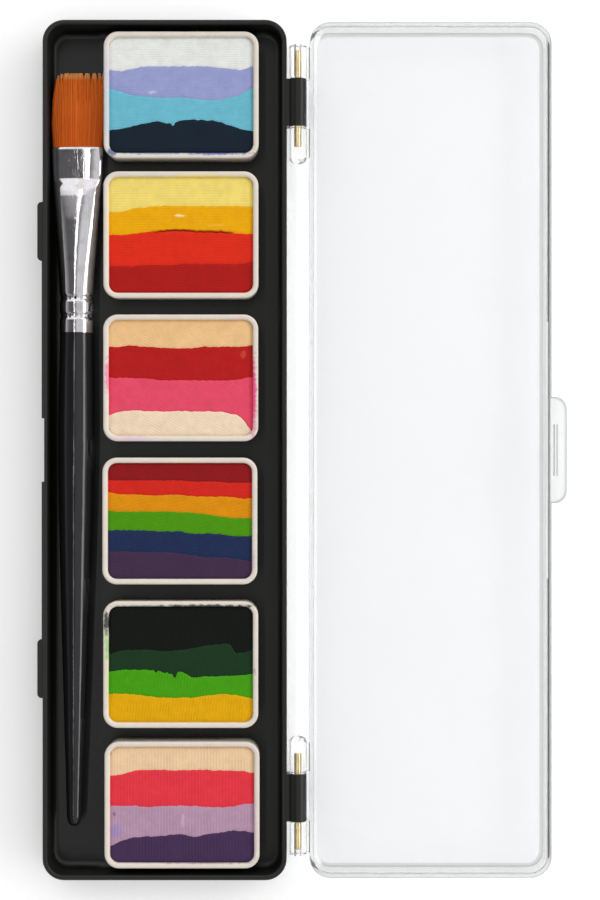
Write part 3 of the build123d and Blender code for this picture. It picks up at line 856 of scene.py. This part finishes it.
def build_bristles():
    """Fine filaments that part into small clumps at their tips, over a solid root."""
    vertices, faces = [], []
    # Each filament as (share of its length, radius), from its buried foot to its tip
    stations = [(-0.5, 0.1), (0.12, 0.105), (0.35, 0.105), (0.7, 0.1), (0.87, 0.09), (0.94, 0.08)]
    stations += [(1.0, 0.045)]
    sides = 4
    foot = -0.5

    def strand(across, up):
        """One filament, which bows outwards and leans away from the nearest slit at its tip."""
        length = bristle_length - 0.55 * chance.random() ** 1.5
        corner = max(0.0, -across / tuft_half_width - 0.55) / 0.45
        length -= 1.5 * corner**2.2
        spread_across = across * 1.03
        tip_across = across * 1.05 + 0.75 * corner + 0.05 * chance.uniform(-1, 1)
        slit, depth = min(slits, key=lambda s: abs(s[0] - across))
        away = across - slit
        push = 0.42 * math.copysign(bell(away, 0.55), away)
        bow = 0.55 * across / tuft_half_width
        tip_up = up * 0.55 + 0.06 * chance.uniform(-1, 1)
        first = len(vertices)
        for share, radius in stations:
            t = max(share, 0.0)
            late = t**3
            x = across + (spread_across - across) * t + (tip_across - spread_across) * late
            x += bow * math.sin(math.pi * min(t, 0.5) * 0.9) * (1 - late)
            x += push * max(0.0, 1 - (1 - t) * length / depth)
            z = up + (tip_up - up) * t**1.6
            along = length * share if share > 0 else foot
            for n in range(sides):
                angle = 2 * math.pi * n / sides
                side_x, side_z = radius * math.cos(angle), radius * math.sin(angle)
                vertices.append(on_brush(along, x + side_x, z + side_z))
        faces.extend(join_rings(len(stations), sides, first))
        faces.append(tuple(range(len(vertices) - sides, len(vertices))))

    # The solid root as (distance from the mouth, shrink), closed at both ends
    root = [(-2.3, 0.0), (0.0, 0.0), (9.0, 0.25), (14.0, 0.6)]
    made = 0
    while made < strand_count:
        across, up = chance.uniform(-1, 1), chance.uniform(-1, 1)
        if abs(across) ** tuft_flatness + abs(up) ** tuft_flatness <= 1:
            strand(across * tuft_half_width, up * tuft_half_height)
            made += 1
    count = 40
    first = len(vertices)
    for along, shrink in root:
        size = (tuft_half_width - shrink, tuft_half_height * (1 - shrink * 0.8))
        vertices += oval_ring(along, *size, tuft_flatness, count)
    faces += join_rings(len(root), count, first)
    faces.append(tuple(reversed(range(first, first + count))))
    faces.append(tuple(range(len(vertices) - count, len(vertices))))
    piece = new_piece("bristles", vertices, faces)
    dress(piece, filament(), "brush", "bristle_filament", "brush_bristles")


build_handle()
build_ferrule()
build_bristles()


# The lid lies open side up beside the tray.
lid_centre = (62.0, 0.0)
lid_size = (56.8, 200.2, 8.2)
lid_corner = 5.0
lid_wall = 1.2
lid_floor = 1.2
lid_front_x = lid_centre[0] + lid_size[0] / 2
lid_rim = lid_size[2]
hinge_axis = (31.0, 9.475)
knuckle_radius = 2.05
knuckle_bevel = 0.25
# Along Y from the middle, the ends of the two knuckles and webs at each end of the lid
outer_knuckle, outer_web = (86.55, 94.3), (86.7, 94.15)
inner_knuckle, inner_web = (66.6, 75.25), (68.4, 75.1)
dome_length, dome_rise, dome_tip = 1.4, 1.75, 0.3
pin_hole_radius, pin_hole = 0.64, (92.95, 96.0)
thumb_reach, thumb_half_length, thumb_corner = 3.6, 12.5, 3.0
tongue_front, tongue_back, tongue_top = 90.5, 91.4, 11.4
tongue_half_length = 6.0
thin_half_length, thin_depth, thin_drop = 30, 0.35, 1.6


def arc_points(centre, radius, start, end, steps=7):
    """Points of an arc in a profile, with its angles in degrees."""
    angles = np.radians(np.linspace(start, end, steps))
    return [(centre[0] + radius * math.cos(a), centre[1] + radius * math.sin(a)) for a in angles]


def closed_tube(rings):
    """Vertices and faces of a solid through equal rings of points, with flat ends."""
    count = len(rings[0])
    vertices = [point for ring in rings for point in ring]
    faces = join_rings(len(rings), count)
    faces.append(tuple(reversed(range(count))))
    faces.append(tuple(range(len(vertices) - count, len(vertices))))
    return vertices, faces


def lid_box():
    """The moulded box half, with round edges at its foot, its rim and inside its floor."""
    foot, lip, inner = 1.0, 0.3, 1.1
    profile = arc_points((foot, foot), foot, 270, 180)
    profile += arc_points((lip, lid_rim - lip), lip, 180, 90)
    profile += arc_points((lid_wall - lip, lid_rim - lip), lip, 90, 0)
    profile += arc_points((lid_wall + inner, lid_floor + inner), inner, 180, 270)
    rings = []
    for inset, z in profile:
        size = (lid_size[0] - 2 * inset, lid_size[1] - 2 * inset)
        rings.append(rounded_ring(lid_centre, size, lid_corner - inset, z, 14))
    return closed_tube(rings)


def prism(outline, y_low, y_high):
    """A solid along Y from an outline of (x, z) points."""
    return closed_tube([[(x, y, z) for x, z in outline] for y in (y_low, y_high)])


def plate(outline, levels):
    """A level solid from an outline function of inset and a list of (inset, z) levels."""
    return closed_tube([[(x, y, z) for x, y in outline(inset)] for inset, z in levels])


def turned(profile, side, count=40):
    """A solid round the hinge axis from (y, radius) points, on one side of the middle."""
    rings = []
    for y, radius in profile:
        angles = [2 * math.pi * n / count for n in range(count)]
        ring = [
            (hinge_axis[0] + radius * math.cos(a), side * y, hinge_axis[1] + radius * math.sin(a))
            for a in angles
        ]
        rings.append(ring)
    return closed_tube(rings)


def thumb_outline(inset):
    """The thumb tab from above, rooted in the front wall."""
    root = lid_front_x - 0.6
    tip = lid_front_x + thumb_reach - inset
    half = thumb_half_length - inset
    lower = arc_points((tip - thumb_corner, thumb_corner - half), thumb_corner, 270, 360, 10)
    upper = arc_points((tip - thumb_corner, half - thumb_corner), thumb_corner, 0, 90, 10)
    return [(root, -half), *lower, *upper, (root, half)]


def lid_parts():
    """The solids that are moulded together with the box half."""
    thumb_levels = [(0.7, lid_rim - 1.3), (0.3, lid_rim - 1.15), (0.0, lid_rim - 0.75)]
    thumb_levels += [(0.0, lid_rim - 0.45), (0.12, lid_rim - 0.15), (0.45, lid_rim)]
    yield plate(thumb_outline, thumb_levels)
    tongue = [(tongue_front, lid_rim - 0.65), (tongue_back, lid_rim - 0.65), (tongue_back, 11.0)]
    tongue += [(91.0, tongue_top), (90.65, tongue_top), (tongue_front, 11.25)]
    hook = [(tongue_front, 11.2), (90.37, 11.1), (tongue_front, 10.98)]
    yield prism(tongue + hook, -tongue_half_length, tongue_half_length)
    x, z = hinge_axis
    web_reach, web_drop = 3.2, 1.9
    web = [(x, lid_rim), (x, z - knuckle_radius)]
    web += [(x + web_reach, z - knuckle_radius - web_drop), (x + web_reach, lid_rim)]
    beveled = knuckle_radius - knuckle_bevel
    start, end = outer_knuckle
    outer = [(start, beveled), (start + knuckle_bevel, knuckle_radius)]
    outer += [(end - knuckle_bevel, knuckle_radius), (end, beveled)]
    start, end = inner_knuckle
    inner = [
        (start + dome_length - dome_length * math.cos(a), dome_tip + dome_rise * math.sin(a))
        for a in np.radians([0, 15, 30, 45, 60, 75, 90])
    ]
    inner += [(end - knuckle_bevel, knuckle_radius), (end, beveled)]
    for side in (1, -1):
        yield turned(outer, side)
        yield prism(web, *sorted(side * y for y in outer_web))
        yield turned(inner, side)
        yield prism(web, *sorted(side * y for y in inner_web))


def lid_cuts():
    """The thinned stretch inside the front rim, and the pins' open ends."""
    margin = 1
    wall_x = lid_front_x - lid_wall
    inside, outside = wall_x - margin, wall_x + thin_depth
    low, high = lid_rim - thin_drop, lid_rim + margin
    outline = [(inside, low), (outside, low), (outside, high), (inside, high)]
    yield prism(outline, -thin_half_length, thin_half_length)
    for side in (1, -1):
        yield turned([(y, pin_hole_radius) for y in pin_hole], side, 24)


def build_lid():
    """One clear moulding, joined from its solids."""
    piece = new_piece("lid_shell", *lid_box())
    helpers = []
    for operation, solids in [("UNION", lid_parts()), ("DIFFERENCE", lid_cuts())]:
        for vertices, faces in solids:
            helper = new_piece("lid_helper", vertices, faces)
            turn_outward(helper.data)
            step = piece.modifiers.new("join", "BOOLEAN")
            step.operation, step.object, step.solver = operation, helper, "EXACT"
            helpers.append(helper)
    turn_outward(piece.data)
    joined = settled(piece)
    piece.modifiers.clear()
    for helper in helpers:
        bpy.data.objects.remove(helper)
    piece.data = joined
    sharpen(piece, 40)
    even = piece.modifiers.new("even", "WEIGHTED_NORMAL")
    even.keep_sharp = True
    even.weight = 100  # the highest, so that the large faces stay flat
    piece.data = settled(piece)
    piece.modifiers.clear()
    dress(piece, clear_plastic(), "lid", "clear_plastic", "lid")


build_lid()


# Solids that stay as they are get their materials.
def repaint(name, material):
    """Gives a carried solid a new material in each of its slots."""
    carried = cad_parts[name]
    if not carried.material_slots:
        carried.data.materials.append(material)
    for place in carried.material_slots:
        place.material = material


brass_material = brass()
repaint("base_tray", black_plastic())
repaint("upper_hinge_pin", brass_material)
repaint("lower_hinge_pin", brass_material)


# Floor, light and background
floor_mesh = bpy.data.meshes.new("floor")
floor_reach, floor_gap = 1.5, 0.0002
corners = [(x * floor_reach, y * floor_reach, 0) for x, y in [(-1, -1), (1, -1), (1, 1), (-1, 1)]]
floor_mesh.from_pydata(corners, [], [(0, 1, 2, 3)])
floor = bpy.data.objects.new("floor", floor_mesh)
floor.location.z = -floor_gap
scene.collection.objects.link(floor)
floor_material, floor_tree, floor_shader, floor_place = new_material("floor_paper")
clouds = grain(floor_tree, floor_place, 0.4, 4.0)
paper = mixed(floor_tree, clouds, (0.90, 0.90, 0.90, 1), (0.93, 0.93, 0.93, 1))
connect(floor_tree, floor_shader, Base_Color=paper, Roughness=0.9, Specular_IOR_Level=0.1)
connect(floor_tree, floor_shader, Emission_Color=(1, 1, 1, 1), Emission_Strength=0.2)
floor_mesh.materials.append(floor_material)


def soft_light(name, place, size, power):
    """A light that faces the middle of the tray, in metres, with its first size along Y."""
    data = bpy.data.lights.new(name, "AREA")
    data.shape = "RECTANGLE"
    data.size, data.size_y = size
    data.energy = power
    light = bpy.data.objects.new(name, data)
    light.location = place
    light.rotation_euler = (-Vector(place)).to_track_quat("-Z", "Y").to_euler()
    scene.collection.objects.link(light)


soft_light("ceiling_strip", (-0.215, 0.0, 1.18), (1.6, 0.04), 1.7)
soft_light("window", (1.0, 0.1, 0.65), (1.6, 0.3), 6.5)

# The room is bright to the right of the palette and beyond its head, fairly bright low down all
# round, and dim elsewhere. What shows through the clear lid is always bright.
head_gain, low_gain = 1.6, 0.55
bright_part, dim_part = 0.72, 0.13
world = bpy.data.worlds.new("studio")
world.use_nodes = True
sky = world.node_tree
axes = split(sky, node(sky, "ShaderNodeTexCoord").outputs["Generated"])
to_right = ranged(sky, axes["X"], -0.15, 0.12)
to_head = ranged(sky, axes["Y"], 0.2, 0.5)
low = ranged(sky, axes["Z"], 0.75, 0.35)
through = node(sky, "ShaderNodeLightPath").outputs["Is Transmission Ray"]
bright = total(sky, to_right, product(sky, to_head, head_gain), "MAXIMUM")
bright = total(sky, bright, product(sky, low, low_gain), "MAXIMUM")
bright = total(sky, bright, through, "MAXIMUM")
strength = total(sky, product(sky, bright, bright_part), dim_part)
sky.links.new(strength, sky.nodes["Background"].inputs["Strength"])
sky.nodes["Background"].inputs["Color"].default_value = (1.0, 1.0, 1.0, 1)
scene.world = world
scene.view_settings.view_transform = "Standard"
